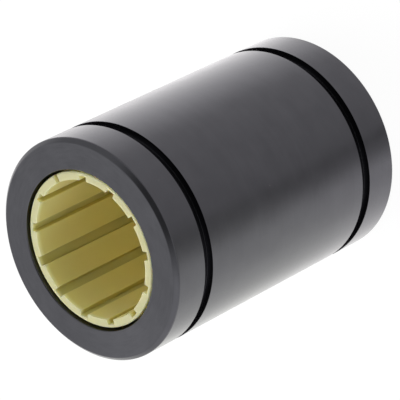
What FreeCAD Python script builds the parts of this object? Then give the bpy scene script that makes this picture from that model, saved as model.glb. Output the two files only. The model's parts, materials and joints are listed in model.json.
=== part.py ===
# Closed linear bushing for a round shaft: a turned metal sleeve with a split polymer liner in its bore.
# It stands on one end face. The origin is the middle of that face, +Z runs up the bore, the slit is on +X.
import FreeCAD
import Part
import os

# The shaft that runs in the bushing, all sizes in millimetres
shaft_diameter = 25.0
shaft_clearance = 0.03            # radial, between the shaft and the lands

# The sleeve, with a groove for a retaining ring near each end
sleeve_diameter = 40.0
sleeve_length = 58.0
sleeve_end_chamfer = 0.75
end_counterbore_gap = 0.45        # radial, clear of the bore that seats the liner
end_counterbore_depth = 2.0
mouth_edge_break = 0.15
ring_groove_inset = 7.15          # from the end face to the groove's nearer wall
ring_groove_width = 1.85
ring_groove_depth = 1.25
ring_groove_edge_break = 0.1

# The liner: even lands with a lubricant groove between each pair, and a slit in place of one groove
liner_wall = 1.45
liner_clearance = 0.02            # radial, between the liner and the sleeve's bore
liner_recess = 0.45               # from the sleeve's end face down to the liner's end
liner_outer_edge_break = 0.2
land_count = 13
land_end_easing = 0.1
land_groove_width = 1.55
land_groove_depth = 0.9
slit_width = 0.7

# The liner's two snap ribs, each in a recess of the sleeve's bore
rib_inset = 3.0                   # from the liner's end to the rib
rib_width = 2.4                   # at its root; both flanks slope at 45 degrees
rib_height = 0.4
rib_end_play = 0.1                # along the axis, on each side of a rib in its recess

# Cutting tools run past the surfaces that they cut by this much
overrun = 1.0

# Worked-out radii and heights
sleeve_radius = sleeve_diameter / 2
bore_radius = shaft_diameter / 2 + shaft_clearance
liner_radius = bore_radius + liner_wall
seat_radius = liner_radius + liner_clearance
liner_bottom = liner_recess
liner_top = sleeve_length - liner_recess

AXIS_BASE = FreeCAD.Vector(0, 0, 0)
AXIS_UP = FreeCAD.Vector(0, 0, 1)


def turned(half_section):
    """The solid that a closed half section of (radius, height) points sweeps about the Z axis."""
    corners = [FreeCAD.Vector(radius, 0, height) for radius, height in half_section]
    face = Part.Face(Part.makePolygon(corners + corners[:1]))
    return face.revolve(AXIS_BASE, AXIS_UP, 360)


def ring_groove(bottom):
    """Half section of one retaining-ring groove in the sleeve's outside, from its lower edge up."""
    floor = sleeve_radius - ring_groove_depth
    lip = sleeve_radius - ring_groove_edge_break
    top = bottom + ring_groove_width
    return [
        (sleeve_radius, bottom - ring_groove_edge_break),
        (lip, bottom),
        (floor, bottom),
        (floor, top),
        (lip, top),
        (sleeve_radius, top + ring_groove_edge_break),
    ]


def rib_outline(root_radius, bottom, width):
    """Half section of a snap rib that stands on root_radius, or of the recess that takes it, from below."""
    crest = root_radius + rib_height
    return [
        (root_radius, bottom),
        (crest, bottom + rib_height),
        (crest, bottom + width - rib_height),
        (root_radius, bottom + width),
    ]


def rib_bottoms(width):
    """Heights of the lower edges of the two ribs, or recesses, that share the ribs' middles."""
    middle = rib_inset + rib_width / 2
    return [liner_bottom + middle - width / 2, liner_top - middle - width / 2]


def make_sleeve():
    """Turned in one piece: chamfered rims, ring grooves, counterbored ends and recesses for the ribs."""
    face_radius = sleeve_radius - sleeve_end_chamfer
    counterbore_radius = seat_radius + end_counterbore_gap
    seat_inset = end_counterbore_depth + end_counterbore_gap
    upper_groove = sleeve_length - ring_groove_inset - ring_groove_width
    outside = [
        (face_radius, 0),
        (sleeve_radius, sleeve_end_chamfer),
        *ring_groove(ring_groove_inset),
        *ring_groove(upper_groove),
        (sleeve_radius, sleeve_length - sleeve_end_chamfer),
        (face_radius, sleeve_length),
    ]
    recess_width = rib_width + 2 * rib_end_play
    lower_recess, upper_recess = rib_bottoms(recess_width)
    bore = [
        (counterbore_radius + mouth_edge_break, 0),
        (counterbore_radius, mouth_edge_break),
        (counterbore_radius, end_counterbore_depth),
        (seat_radius, seat_inset),
        *rib_outline(seat_radius, lower_recess, recess_width),
        *rib_outline(seat_radius, upper_recess, recess_width),
        (seat_radius, sleeve_length - seat_inset),
        (counterbore_radius, sleeve_length - end_counterbore_depth),
        (counterbore_radius, sleeve_length - mouth_edge_break),
        (counterbore_radius + mouth_edge_break, sleeve_length),
    ]
    return turned(outside + bore[::-1])


def liner_tube():
    """The liner before its grooves and slit: a tube with eased edges and the two snap ribs."""
    lower_rib, upper_rib = rib_bottoms(rib_width)
    end_radius = liner_radius - liner_outer_edge_break
    outside = [
        (end_radius, liner_bottom),
        (liner_radius, liner_bottom + liner_outer_edge_break),
        *rib_outline(liner_radius, lower_rib, rib_width),
        *rib_outline(liner_radius, upper_rib, rib_width),
        (liner_radius, liner_top - liner_outer_edge_break),
        (end_radius, liner_top),
    ]
    bore = [
        (bore_radius + land_end_easing, liner_bottom),
        (bore_radius, liner_bottom + land_end_easing),
        (bore_radius, liner_top - land_end_easing),
        (bore_radius + land_end_easing, liner_top),
    ]
    return turned(outside + bore[::-1])


def lengthwise_cutter(width, outer_radius):
    """A cutter on the +X side, from inside the bore out to outer_radius and past both ends of the liner."""
    inside = bore_radius - overrun
    bottom = liner_bottom - overrun
    height = liner_top + overrun - bottom
    corner = FreeCAD.Vector(inside, -width / 2, bottom)
    return Part.makeBox(outer_radius - inside, width, height, corner)


def make_liner():
    """Moulded in one piece; the slit stands on +X and the grooves follow at even angles round the bore."""
    pitch = 360 / land_count
    groove = lengthwise_cutter(land_groove_width, bore_radius + land_groove_depth)
    slit = lengthwise_cutter(slit_width, liner_radius + rib_height + overrun)
    cutters = [slit]
    for place in range(1, land_count):
        turned_groove = groove.copy()
        turned_groove.rotate(AXIS_BASE, AXIS_UP, place * pitch)
        cutters.append(turned_groove)
    return liner_tube().cut(cutters).Solids[0]


os.makedirs("parts", exist_ok=True)
make_sleeve().exportStep("parts/sleeve.step")
make_liner().exportStep("parts/liner.step")
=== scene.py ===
import json
import math

import bmesh
import bpy
from mathutils import Matrix, Vector


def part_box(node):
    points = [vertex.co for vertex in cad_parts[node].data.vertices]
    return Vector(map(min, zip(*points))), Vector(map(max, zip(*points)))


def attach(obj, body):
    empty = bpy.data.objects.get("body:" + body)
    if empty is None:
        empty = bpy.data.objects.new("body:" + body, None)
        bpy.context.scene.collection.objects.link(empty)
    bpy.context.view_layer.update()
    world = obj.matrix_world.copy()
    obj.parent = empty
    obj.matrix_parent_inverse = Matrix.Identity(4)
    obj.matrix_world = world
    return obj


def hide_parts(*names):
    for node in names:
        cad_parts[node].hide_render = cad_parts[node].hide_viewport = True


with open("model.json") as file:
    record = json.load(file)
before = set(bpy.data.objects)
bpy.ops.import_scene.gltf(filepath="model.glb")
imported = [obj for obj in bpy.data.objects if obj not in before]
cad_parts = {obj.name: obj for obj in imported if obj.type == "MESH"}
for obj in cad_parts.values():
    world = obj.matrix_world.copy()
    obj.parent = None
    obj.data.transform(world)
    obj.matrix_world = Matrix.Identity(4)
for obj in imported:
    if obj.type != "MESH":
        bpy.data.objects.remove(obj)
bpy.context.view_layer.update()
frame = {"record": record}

# The sleeve is turned in one piece from aluminium bar, with a ring groove near each end and a counterbore in
# each mouth that clears the liner's end. Hard anodising leaves it dark grey and satin, and the marks of the
# turning tool still show faintly through the coat.
mm = 0.001
mounts = {mount["name"]: mount for mount in frame["record"]["mounts"]}
sleeve_radius = mounts["outside_diameter"]["dims"]["r_mm"]
sleeve_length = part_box("sleeve")[1].z / mm
rim_chamfer = 0.75
rim_chamfer_rise = 0.69
rim_easing = 0.2
face_easing = 0.14
ring_groove_inset = 7.07
ring_groove_width = 2.0
ring_groove_depth = 1.25
ring_groove_lip = 0.02
lip_easing = 0.008
groove_corner_easing = 0.03
seat_radius = 14.0
mouth_radius = 14.47
mouth_break = 0.12
mouth_easing = 0.02
mouth_depth = 2.0
step_easing = 0.05
recess_low = 3.35
recess_high = 5.95
recess_depth = 0.4
recess_easing = 0.02
turning_steps = 240
tool_mark_height = 0.004
coat_dark = (0.0585, 0.0585, 0.065, 1)
coat_pale = (0.0885, 0.0885, 0.0975, 1)
speck_grey = (0.3, 0.3, 0.3, 1)


def bend(start, corner, end, shares=(0, 0.25, 0.5, 0.75, 1)):
    """Points from start round a corner to end, at the given shares of the way."""
    return [start * (1 - t) ** 2 + corner * 2 * t * (1 - t) + end * t ** 2 for t in shares]


def eased(corners):
    """Points of a closed outline through (x, y, easing) corners, each rounded off over its easing length."""
    points = []
    for place, (x, y, easing) in enumerate(corners):
        corner = Vector((x, y))
        before = Vector(corners[place - 1][:2]) - corner
        after = Vector(corners[(place + 1) % len(corners)][:2]) - corner
        start = corner + before.normalized() * easing
        end = corner + after.normalized() * easing
        points += bend(start, corner, end)
    return points


def smooth_piece(name, mesh_edit):
    """Object from an edited mesh, shaded smooth up to its sharp edges and flat across its broad faces."""
    sharp_angle = math.radians(40)
    bmesh.ops.recalc_face_normals(mesh_edit, faces=mesh_edit.faces)
    mesh = bpy.data.meshes.new(name)
    mesh_edit.to_mesh(mesh)
    mesh_edit.free()
    mesh.shade_smooth()
    mesh.set_sharp_from_angle(angle=sharp_angle)
    piece = bpy.data.objects.new(name, mesh)
    bpy.context.scene.collection.objects.link(piece)
    broad_faces = piece.modifiers.new("broad faces", "WEIGHTED_NORMAL")
    broad_faces.keep_sharp = True
    return piece


def turned_piece(name, outline):
    """Ring that a closed outline of (radius, height) sweeps about Z, with its turn and travel kept as UVs."""
    mesh_edit = bmesh.new()
    lathe = mesh_edit.loops.layers.uv.new("lathe")
    travel = [0.0]
    for place, point in enumerate(outline):
        travel.append(travel[-1] + (outline[(place + 1) % len(outline)] - point).length)
    rows = []
    for turn in range(turning_steps):
        angle = 2 * math.pi * turn / turning_steps
        across = Vector((math.cos(angle), math.sin(angle), 0)) * mm
        rows.append([mesh_edit.verts.new(across * point.x + Vector((0, 0, point.y * mm))) for point in outline])
    for turn in range(turning_steps):
        for place in range(len(outline)):
            after = (place + 1) % len(outline)
            row, next_row = rows[turn], rows[(turn + 1) % turning_steps]
            face = mesh_edit.faces.new((row[place], next_row[place], next_row[after], row[after]))
            corners = ((turn, place), (turn + 1, place), (turn + 1, place + 1), (turn, place + 1))
            for loop, (step, stop) in zip(face.loops, corners):
                loop[lathe].uv = (step / turning_steps, travel[stop])
    return smooth_piece(name, mesh_edit)


def mirrored_ends(half):
    """Outline corners of the lower half, from the bottom up, and the same again for the upper half."""
    return half + [(radius, sleeve_length - height, easing) for radius, height, easing in half[::-1]]


ring_groove_floor = sleeve_radius - ring_groove_depth
ring_groove_top = ring_groove_inset + ring_groove_width
outside = mirrored_ends([
    (sleeve_radius - rim_chamfer, 0.0, face_easing),
    (sleeve_radius, rim_chamfer_rise, rim_easing),
    (sleeve_radius, ring_groove_inset - ring_groove_lip, lip_easing),
    (sleeve_radius - ring_groove_lip, ring_groove_inset, lip_easing),
    (ring_groove_floor, ring_groove_inset, groove_corner_easing),
    (ring_groove_floor, ring_groove_top, groove_corner_easing),
    (sleeve_radius - ring_groove_lip, ring_groove_top, lip_easing),
    (sleeve_radius, ring_groove_top + ring_groove_lip, lip_easing),
])
bore = mirrored_ends([
    (mouth_radius + mouth_break, 0.0, mouth_easing),
    (mouth_radius, mouth_break, mouth_easing),
    (mouth_radius, mouth_depth, step_easing),
    (seat_radius, mouth_depth + mouth_radius - seat_radius, step_easing),
    (seat_radius, recess_low, recess_easing),
    (seat_radius + recess_depth, recess_low + recess_depth, recess_easing),
    (seat_radius + recess_depth, recess_high - recess_depth, recess_easing),
    (seat_radius, recess_high, recess_easing),
])
sleeve = turned_piece("turned_sleeve", eased(outside + bore[::-1]))


def add_node(material, kind, settings=None, **inputs):
    """New shader node; settings are its own properties, inputs go to its sockets by name, or by number as _0."""
    node = material.node_tree.nodes.new(kind)
    for name, value in (settings or {}).items():
        setattr(node, name, value)
    for name, value in inputs.items():
        socket = node.inputs[int(name[1:])] if name[1:].isdigit() else node.inputs[name.replace("_", " ")]
        if isinstance(value, bpy.types.NodeSocket):
            material.node_tree.links.new(value, socket)
        else:
            socket.default_value = value
    return node


def reckon(material, operation, *values):
    """Result of one sum on up to three values."""
    inputs = {f"_{place}": value for place, value in enumerate(values)}
    return add_node(material, "ShaderNodeMath", {"operation": operation}, **inputs).outputs[0]


def ranged(material, value, low, high, at_low=0.0, at_high=1.0, smooth=False):
    """The value's range from low to high, spread from at_low to at_high and held there beyond it."""
    shape = {"interpolation_type": "SMOOTHSTEP"} if smooth else None
    return add_node(material, "ShaderNodeMapRange", shape, Value=value, From_Min=low, From_Max=high,
                    To_Min=at_low, To_Max=at_high).outputs["Result"]


def mixed(material, share, start, end):
    """Colour between start and end."""
    return add_node(material, "ShaderNodeMix", {"data_type": "RGBA"}, _0=share, _6=start, _7=end).outputs[2]


anodised = bpy.data.materials.new("hard_anodised_aluminium")
anodised.use_nodes = True
coat = anodised.node_tree.nodes["Principled BSDF"]
coat.inputs["Metallic"].default_value = 1.0
lathe_place = add_node(anodised, "ShaderNodeUVMap", {"uv_map": "lathe"}).outputs["UV"]
solid_place = add_node(anodised, "ShaderNodeTexCoord").outputs["Object"]


def lathe_marks(per_turn, per_mm, detail, roughness):
    """Noise that follows the tool, with so many waves in a turn and in a millimetre of its travel."""
    path = add_node(anodised, "ShaderNodeMapping", Vector=lathe_place, Scale=(per_turn, per_mm, 1.0))
    return add_node(anodised, "ShaderNodeTexNoise", {"noise_dimensions": "2D"}, Vector=path.outputs["Vector"],
                    Scale=1.0, Detail=detail, Roughness=roughness).outputs["Fac"]


tool_marks = lathe_marks(per_turn=2.0, per_mm=5.0, detail=3.0, roughness=0.6)
bands = lathe_marks(per_turn=3.0, per_mm=1.7, detail=2.0, roughness=0.6)
facing_marks = lathe_marks(per_turn=40.0, per_mm=3.0, detail=3.0, roughness=0.65)
mottle = add_node(anodised, "ShaderNodeTexNoise", Vector=solid_place, Scale=260.0, Detail=4.0,
                  Roughness=0.55).outputs["Fac"]
side_tone = reckon(anodised, "MULTIPLY_ADD", bands, 0.4, mottle)
facing = add_node(anodised, "ShaderNodeTexCoord").outputs["Normal"]
facing_up = add_node(anodised, "ShaderNodeSeparateXYZ", Vector=facing).outputs["Z"]
on_face = ranged(anodised, reckon(anodised, "ABSOLUTE", facing_up), 0.95, 0.99)
facing_cut = ranged(anodised, facing_marks, 0.0, 1.0, -0.7, 0.7)
around = add_node(anodised, "ShaderNodeSeparateXYZ", Vector=lathe_place).outputs["X"]
off_far_side = reckon(anodised, "ABSOLUTE", reckon(anodised, "SUBTRACT", around, 0.5))
# Painted highlight: each end face is painted lighter over the -X side of its turn, as a sheen where the light
# falls.
painted_sheen_side = ranged(anodised, off_far_side, 0.0, 0.15, 0.65, 0.0, smooth=True)
face_marks_and_sheen = reckon(anodised, "ADD", facing_cut, painted_sheen_side)
unevenness_and_sheen = reckon(anodised, "MULTIPLY_ADD", face_marks_and_sheen, on_face, side_tone)
tone = mixed(anodised, ranged(anodised, unevenness_and_sheen, 0.1, 1.6), coat_dark, coat_pale)
grains = add_node(anodised, "ShaderNodeTexVoronoi", Vector=solid_place, Scale=330.0)
near_grain = ranged(anodised, grains.outputs["Distance"], 0.025, 0.045, 1.0, 0.0)
grain_draw = add_node(anodised, "ShaderNodeSeparateColor", Color=grains.outputs["Color"]).outputs["Red"]
few_grains = reckon(anodised, "GREATER_THAN", grain_draw, 0.95)
speck = reckon(anodised, "MULTIPLY", near_grain, few_grains)
coat_colour = mixed(anodised, speck, tone, speck_grey)
satin = ranged(anodised, mottle, 0.0, 1.0, 0.21, 0.29)
relief = add_node(anodised, "ShaderNodeBump", Strength=0.1, Distance=tool_mark_height * mm,
                  Height=tool_marks).outputs["Normal"]
for socket, source in (("Base Color", coat_colour), ("Roughness", satin), ("Normal", relief)):
    anodised.node_tree.links.new(source, coat.inputs[socket])

sleeve.data.materials.append(anodised)
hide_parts("sleeve")
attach(sleeve, "root")

# The liner is moulded in one piece from a pale yellow sliding polymer, slit along its length so that it can be
# squeezed small and snapped into the sleeve. Even lands carry the shaft, the grooves between them keep dirt away
# from it, and a rib round the outside near each end locks into the sleeve.
land_radius = mounts["shaft_bore"]["dims"]["r_mm"]
liner_low, liner_high = (corner.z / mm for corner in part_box("liner"))
liner_radius = 13.98
groove_floor = 13.43
groove_width = 1.7
floor_fillet = 0.08
slit_width = 1.0
land_count = 13
land_edge = 0.06
land_end = 0.05
outer_end = 0.24
rib_low = 3.45
rib_high = 5.85
rib_height = 0.4
plain_heights = (12.0, 20.0)
outer_steps = 260
land_steps = 16
end_steps = 8
groove_shade_start = 0.05
groove_shade_full = 0.25
near_end_reach = 10.0
painted_glow_reach = 1.0
painted_glow_full = 0.3
glow_depth = 1.1
resin_grain_height = 0.01
# Lands deep in the bore are painted lighter and more orange than near the ends: painted light where the lamps
# reach less, with a change of tone.
deep_land = (0.93, 0.815, 0.4, 1)
deep_land_pale = (0.96, 0.845, 0.425, 1)
near_land = (0.85, 0.81, 0.35, 1)
# Painted shade: the groove floor and wall colours are darker than the lands, for the shade in the grooves.
shaded_deep_floor = (0.72, 0.665, 0.335, 1)
shaded_near_floor = (0.74, 0.73, 0.31, 1)
shaded_groove_wall = (0.67, 0.6, 0.22, 1)
# Painted glow for the last millimetre of the bore, for light that comes through the resin from the end face.
painted_glow_edge = (0.93, 0.93, 0.6, 1)
# Painted shade on the liner's end faces, which the lamps light more strongly than the bore.
end_face_shade = (0.65, 0.63, 0.36, 1)


def liner_section(outer, land):
    """Closed (x, y) outline of the liner across the shaft, at the given outside and land radii; slit on +X."""
    half_slit = slit_width / 2
    half_groove = groove_width / 2
    slit_turn = math.asin(half_slit / outer)
    pitch = 2 * math.pi / land_count

    def on_circle(radius, angle):
        """Point of a circle round the shaft."""
        return Vector((radius * math.cos(angle), radius * math.sin(angle)))

    def land_corner(half_width, side):
        """The eased corner where a groove or slit wall meets the land on its +1 or -1 side, from wall to land."""
        corner = Vector((math.sqrt(land ** 2 - half_width ** 2), side * half_width))
        turn = math.atan2(corner.y, corner.x) + side * land_edge / land
        return bend(corner + Vector((land_edge, 0)), corner, on_circle(land, turn))

    def floor_corner(side):
        """The filleted corner between a groove's wall and its floor, from wall to floor."""
        corner = Vector((groove_floor, side * half_groove))
        on_wall = corner - Vector((floor_fillet, 0))
        on_floor = corner - Vector((0, side * floor_fillet))
        return bend(on_wall, corner, on_floor, (0, 0.33, 0.67, 1))

    outline = []
    for step in range(outer_steps + 1):
        outline.append(on_circle(outer, slit_turn + (2 * math.pi - 2 * slit_turn) * step / outer_steps))
    for place in range(land_count, 0, -1):
        after = Matrix.Rotation(place * pitch, 2)
        before = Matrix.Rotation((place - 1) * pitch, 2)
        after_half = half_slit if place == land_count else half_groove
        before_half = half_slit if place == 1 else half_groove
        start = place * pitch - math.asin(after_half / land) - land_edge / land
        end = (place - 1) * pitch + math.asin(before_half / land) + land_edge / land
        outline += [after @ point for point in land_corner(after_half, -1)]
        outline += [on_circle(land, start + (end - start) * step / land_steps) for step in range(1, land_steps)]
        outline += [before @ point for point in land_corner(before_half, 1)][::-1]
        if place > 1:
            outline += [before @ point for point in floor_corner(1) + floor_corner(-1)[::-1]]
    return outline


def set_back(height, easing):
    """How far an edge rounded over the easing length stands back from its wall, at a height above the end."""
    short_of_wall = max(0.0, 1 - height / easing)
    return easing * (1 - math.sqrt(1 - short_of_wall ** 2))


def liner_stations():
    """(height, outside radius, land radius) from the liner's lower end up towards its middle."""
    stations = []
    for step in range(end_steps + 1):
        height = outer_end * (1 - math.cos(math.pi / 2 * step / end_steps))
        outer = liner_radius - set_back(height, outer_end)
        stations.append((height, outer, land_radius + set_back(height, land_end)))
    rib_start, rib_stop = rib_low - liner_low, rib_high - liner_low
    for height, rise in ((rib_start, 0.0), (rib_start + rib_height, rib_height),
                         (rib_stop - rib_height, rib_height), (rib_stop, 0.0)):
        stations.append((height, liner_radius + rise, land_radius))
    return stations + [(height, liner_radius, land_radius) for height in plain_heights]


lower_half = liner_stations()
levels = [(liner_low + height, outer, land) for height, outer, land in lower_half]
levels += [(liner_high - height, outer, land) for height, outer, land in lower_half[::-1]]
liner_mesh = bmesh.new()
rings = []
for height, outer, land in levels:
    outline = liner_section(outer, land)
    rings.append([liner_mesh.verts.new((point.x * mm, point.y * mm, height * mm)) for point in outline])
for ring, next_ring in zip(rings, rings[1:]):
    for place in range(len(ring)):
        after = (place + 1) % len(ring)
        liner_mesh.faces.new((ring[place], ring[after], next_ring[after], next_ring[place]))
liner_mesh.faces.new(rings[0][::-1])
liner_mesh.faces.new(rings[-1])
liner = smooth_piece("split_liner", liner_mesh)

polymer = bpy.data.materials.new("yellow_sliding_polymer")
polymer.use_nodes = True
resin = polymer.node_tree.nodes["Principled BSDF"]
resin.inputs["IOR"].default_value = 1.5
resin.inputs["Subsurface Weight"].default_value = 1.0
resin.inputs["Subsurface Radius"].default_value = (1.0, 0.9, 0.7)
resin.inputs["Subsurface Scale"].default_value = glow_depth * mm
resin_place = add_node(polymer, "ShaderNodeTexCoord").outputs["Object"]
from_axis = add_node(polymer, "ShaderNodeVectorMath", {"operation": "MULTIPLY"}, _0=resin_place,
                     _1=(1, 1, 0)).outputs["Vector"]
reach = add_node(polymer, "ShaderNodeVectorMath", {"operation": "LENGTH"}, _0=from_axis).outputs["Value"]
in_groove = ranged(polymer, reach, (land_radius + groove_shade_start) * mm, (land_radius + groove_shade_full) * mm)
resin_facing = add_node(polymer, "ShaderNodeTexCoord").outputs["Normal"]
resin_facing_up = add_node(polymer, "ShaderNodeSeparateXYZ", Vector=resin_facing).outputs["Z"]
on_end = ranged(polymer, reckon(polymer, "ABSOLUTE", resin_facing_up), 0.5, 0.9)
flow = add_node(polymer, "ShaderNodeMapping", Vector=resin_place, Scale=(300.0, 300.0, 60.0)).outputs["Vector"]
flow_marks = add_node(polymer, "ShaderNodeTexNoise", Vector=flow, Scale=1.0, Detail=4.0).outputs["Fac"]
up_axis = add_node(polymer, "ShaderNodeSeparateXYZ", Vector=resin_place).outputs["Z"]
off_middle = reckon(polymer, "ABSOLUTE", reckon(polymer, "SUBTRACT", up_axis, sleeve_length / 2 * mm))
# Over the last 10 mm towards each end the lands and groove floors turn paler and greener; the lighter lands deeper
# in are painted light.
near_end = ranged(polymer, off_middle, (sleeve_length / 2 - near_end_reach) * mm, sleeve_length / 2 * mm)
land_tone = mixed(polymer, near_end, mixed(polymer, flow_marks, deep_land, deep_land_pale), near_land)
shaded_floor_tone = mixed(polymer, near_end, shaded_deep_floor, shaded_near_floor)
outward = add_node(polymer, "ShaderNodeVectorMath", {"operation": "NORMALIZE"}, _0=from_axis).outputs["Vector"]
along_radius = add_node(polymer, "ShaderNodeVectorMath", {"operation": "DOT_PRODUCT"}, _0=resin_facing,
                        _1=outward).outputs["Value"]
on_floor = ranged(polymer, reckon(polymer, "ABSOLUTE", along_radius), 0.4, 0.8)
# Painted shade: groove walls and floors are painted darker than the lands, with the walls darkest.
painted_groove_shade = mixed(polymer, on_floor, shaded_groove_wall, shaded_floor_tone)
bore_tone = mixed(polymer, in_groove, land_tone, painted_groove_shade)
liner_half = liner_high - sleeve_length / 2
# Painted glow: the bore is painted pale within 1 mm of each end of the liner, for light that shines in through the
# end face.
at_painted_glow = ranged(polymer, off_middle, (liner_half - painted_glow_reach) * mm, (liner_half - painted_glow_full) * mm)
glow_edge_tone = mixed(polymer, at_painted_glow, bore_tone, painted_glow_edge)
# Painted shade: the end faces are painted darker than the lands, since the lamps light them more strongly than the
# bore; one resin in shaded and lit tones.
resin_colour = mixed(polymer, on_end, glow_edge_tone, end_face_shade)
resin_satin = ranged(polymer, flow_marks, 0.0, 1.0, 0.42, 0.58)
resin_grain = add_node(polymer, "ShaderNodeTexNoise", Vector=resin_place, Scale=2600.0, Detail=2.0).outputs["Fac"]
resin_relief = add_node(polymer, "ShaderNodeBump", Strength=0.15, Distance=resin_grain_height * mm,
                        Height=resin_grain).outputs["Normal"]
for socket, source in (("Base Color", resin_colour), ("Roughness", resin_satin), ("Normal", resin_relief)):
    polymer.node_tree.links.new(source, resin.inputs[socket])

liner.data.materials.append(polymer)
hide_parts("liner")
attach(liner, "root")

# The stage is a plain white table in a white room, lit by soft lamps from behind and from both sides. The sleeve's
# gloss mirrors the table and the dark of the room by the camera. Only mirrored rays see the table's levels and
# tints, a painted reflection: painted brighter to both sides than in front and dimmer far to the right, and it
# sheds no diffuse light. To the camera it is plain white, with the bushing's shadow.
table_half = 4.0
mirror_focus = 13.0
painted_reflection_levels = ((-155, 1.55), (-142, 1.52), (-114, 1.62), (-98, 1.82), (-60, 1.7), (-42, 0.85), (-29, 0.6),
                (-15, 0.86), (75, 1.17), (95, 1.75), (112, 2.02), (138, 1.92), (152, 1.55))
back_level = 0.85
brightest = 2.02
far_right_share = 0.62
white = (1, 1, 1, 1)
paper_white = (0.86, 0.86, 0.86, 1)
left_tint = (1, 1, 0.968, 1)
right_tint = (1, 0.982, 0.99, 1)
room_dark = (0.22, 0.22, 0.22, 1)
floor_edge = bmesh.new()
bmesh.ops.create_grid(floor_edge, x_segments=1, y_segments=1, size=table_half)
floor_mesh = bpy.data.meshes.new("white_table")
floor_edge.to_mesh(floor_mesh)
floor_edge.free()
floor = bpy.data.objects.new("white_table", floor_mesh)
bpy.context.scene.collection.objects.link(floor)
table_top = bpy.data.materials.new("white_table_top")
table_top.use_nodes = True
table_top.node_tree.nodes.remove(table_top.node_tree.nodes["Principled BSDF"])


def mixed_value(material, share, start, end):
    """Number between start and end."""
    return add_node(material, "ShaderNodeMix", {"data_type": "FLOAT"}, _0=share, _2=start, _3=end).outputs[0]


def background_rays(material):
    """1 for the rays that show the background: from the camera, off gloss and through glass."""
    ray = add_node(material, "ShaderNodeLightPath").outputs
    gloss = reckon(material, "ADD", ray["Is Camera Ray"], ray["Is Glossy Ray"])
    return add_node(material, "ShaderNodeMath", {"operation": "ADD", "use_clamp": True}, _0=gloss,
                    _1=ray["Is Transmission Ray"]).outputs[0]


def ramp_grey(level):
    """Grey of the table's ramp for a level of its glow."""
    return (level / brightest, level / brightest, level / brightest, 1)


table_place = add_node(table_top, "ShaderNodeNewGeometry").outputs["Position"]
from_focus = add_node(table_top, "ShaderNodeVectorMath", _0=table_place, _1=(0, mirror_focus * mm, 0)).outputs[0]
focus_parts = add_node(table_top, "ShaderNodeSeparateXYZ", Vector=from_focus).outputs
towards_front = reckon(table_top, "MULTIPLY", focus_parts["Y"], -1.0)
heading = reckon(table_top, "ARCTAN2", focus_parts["X"], towards_front)
table_ramp = add_node(table_top, "ShaderNodeValToRGB", Fac=ranged(table_top, heading, -math.pi, math.pi))
for end_stop in table_ramp.color_ramp.elements:
    end_stop.color = ramp_grey(back_level)
for degrees, level in painted_reflection_levels:
    table_ramp.color_ramp.elements.new(0.5 + degrees / 360).color = ramp_grey(level)
to_far_right = add_node(table_top, "ShaderNodeVectorMath", {"operation": "DOT_PRODUCT"}, _0=table_place,
                        _1=(0.995, 0.1, 0)).outputs["Value"]
far_right = ranged(table_top, to_far_right, 60 * mm, 160 * mm, brightest, far_right_share * brightest)
gloss_level = reckon(table_top, "MULTIPLY", table_ramp.outputs["Color"], far_right)
off_gloss = add_node(table_top, "ShaderNodeLightPath").outputs["Is Glossy Ray"]
glow_level = mixed_value(table_top, off_gloss, 1.06, gloss_level)
shadow_room = mixed_value(table_top, off_gloss, 0.9, 0.97)
glow_share = reckon(table_top, "MULTIPLY", background_rays(table_top), shadow_room)
on_right = ranged(table_top, focus_parts["X"], -40 * mm, -15 * mm)
glow_tone = mixed(table_top, off_gloss, white, mixed(table_top, on_right, left_tint, right_tint))
paper = add_node(table_top, "ShaderNodeBsdfDiffuse", Color=paper_white).outputs[0]
glow = add_node(table_top, "ShaderNodeEmission", Color=glow_tone, Strength=glow_level).outputs[0]
table_mix = add_node(table_top, "ShaderNodeMixShader", _0=glow_share, _1=paper, _2=glow).outputs[0]
table_top.node_tree.links.new(table_mix, table_top.node_tree.nodes["Material Output"].inputs["Surface"])
floor_mesh.materials.append(table_top)

sky = bpy.data.worlds.new("white_sky")
sky.use_nodes = True
bpy.context.scene.world = sky
sky_direction = add_node(sky, "ShaderNodeTexCoord").outputs["Generated"]


def towards(x, y, z):
    """How squarely a direction of the sky lies along (x, y, z)."""
    return add_node(sky, "ShaderNodeVectorMath", {"operation": "DOT_PRODUCT"}, _0=sky_direction,
                    _1=(x, y, z)).outputs["Value"]


room_depth = ranged(sky, towards(0.15, -0.67, 0.727), 0.686, 0.967, smooth=True)
sky_tone = mixed(sky, room_depth, white, room_dark)
sky_parts = add_node(sky, "ShaderNodeSeparateXYZ", Vector=sky_direction).outputs
side_wall = ranged(sky, reckon(sky, "ABSOLUTE", sky_parts["X"]), 0.0, 1.0, 0.2, 1.5)
overhead = ranged(sky, sky_parts["Z"], 0.0, 0.6, smooth=True)
cove = mixed_value(sky, overhead, side_wall, 0.16)
sky_light = sky.node_tree.nodes["Background"]
sky_light.inputs["Color"].default_value = white
sky.node_tree.links.new(cove, sky_light.inputs["Strength"])
# Painted reflection: for mirrored rays only, the sky is dimmer towards +X and brighter near the horizon; the light
# it sheds has neither.
dim_right = ranged(sky, towards(0.92, 0.1, 0.38), 0.75, 0.93, 1.0, 0.82)
horizon = ranged(sky, sky_parts["Z"], 0.0, 0.25, 1.35, 1.0)
mirrored_level = reckon(sky, "MULTIPLY", dim_right, horizon)
mirrored_sky = add_node(sky, "ShaderNodeLightPath").outputs["Is Glossy Ray"]
seen_level = mixed_value(sky, mirrored_sky, 1.0, mirrored_level)
seen_sky = add_node(sky, "ShaderNodeBackground", Color=sky_tone, Strength=seen_level).outputs[0]
sky_mix = add_node(sky, "ShaderNodeMixShader", _0=background_rays(sky), _1=sky_light.outputs[0],
                   _2=seen_sky).outputs[0]
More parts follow.
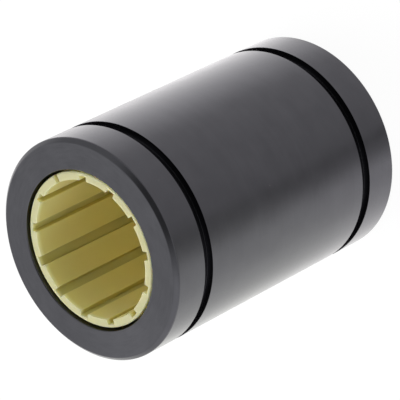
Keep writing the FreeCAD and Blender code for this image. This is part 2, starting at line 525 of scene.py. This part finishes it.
sky.node_tree.links.new(sky_mix, sky.node_tree.nodes["World Output"].inputs["Surface"])

middle = Vector((0, 0, sleeve_length / 2 * mm))


def aimed(name, data, azimuth, elevation, distance, aim):
    """Object at a bearing from the aim point, its -Z towards it; azimuth 0 stands on the -Y side, 90 on +X."""
    bearing, height = math.radians(azimuth), math.radians(elevation)
    back = Vector((math.sin(bearing) * math.cos(height), -math.cos(bearing) * math.cos(height), math.sin(height)))
    thing = bpy.data.objects.new(name, data)
    bpy.context.scene.collection.objects.link(thing)
    facing_aim = back.to_track_quat("Z", "Y").to_matrix().to_4x4()
    thing.matrix_world = Matrix.Translation(aim + back * distance) @ facing_aim
    return thing


def softbox(name, diameter, power, azimuth, elevation, distance, mirrored=True):
    """Round soft lamp aimed at the bushing's middle, which gloss mirrors or doesn't."""
    lamp = bpy.data.lights.new(name, "AREA")
    lamp.shape = "DISK"
    lamp.size = diameter
    lamp.energy = power
    aimed(name, lamp, azimuth, elevation, distance, middle).visible_glossy = mirrored


softbox("back_lamp", diameter=0.6, power=6.4, azimuth=180, elevation=63, distance=1.0, mirrored=False)
softbox("back_wall", diameter=1.4, power=1.1, azimuth=180, elevation=42, distance=1.0)
softbox("side_lamp", diameter=1.1, power=1.5, azimuth=-95, elevation=30, distance=0.9)
softbox("low_lamp", diameter=0.7, power=0.55, azimuth=-65, elevation=20, distance=1.0, mirrored=False)
softbox("right_lamp", diameter=0.7, power=0.4, azimuth=95, elevation=45, distance=1.0, mirrored=False)

# The camera stands where the photograph was taken from, on the -Y side and well above the bushing. It is turned
# on its side, because in the photograph the bushing lies down.
lens = bpy.data.cameras.new("camera")
lens.lens = 291.11
lens.sensor_width = 36
camera_aim = Vector((-0.75, 0.425, 29.493)) * mm
camera_turn = math.radians(-116.565)
camera = aimed("camera", lens, azimuth=2.183, elevation=42.557, distance=563.757 * mm, aim=camera_aim)
camera.matrix_world = camera.matrix_world @ Matrix.Rotation(camera_turn, 4, "Z")
bpy.context.scene.camera = camera

bpy.context.scene.view_settings.view_transform = "Standard"
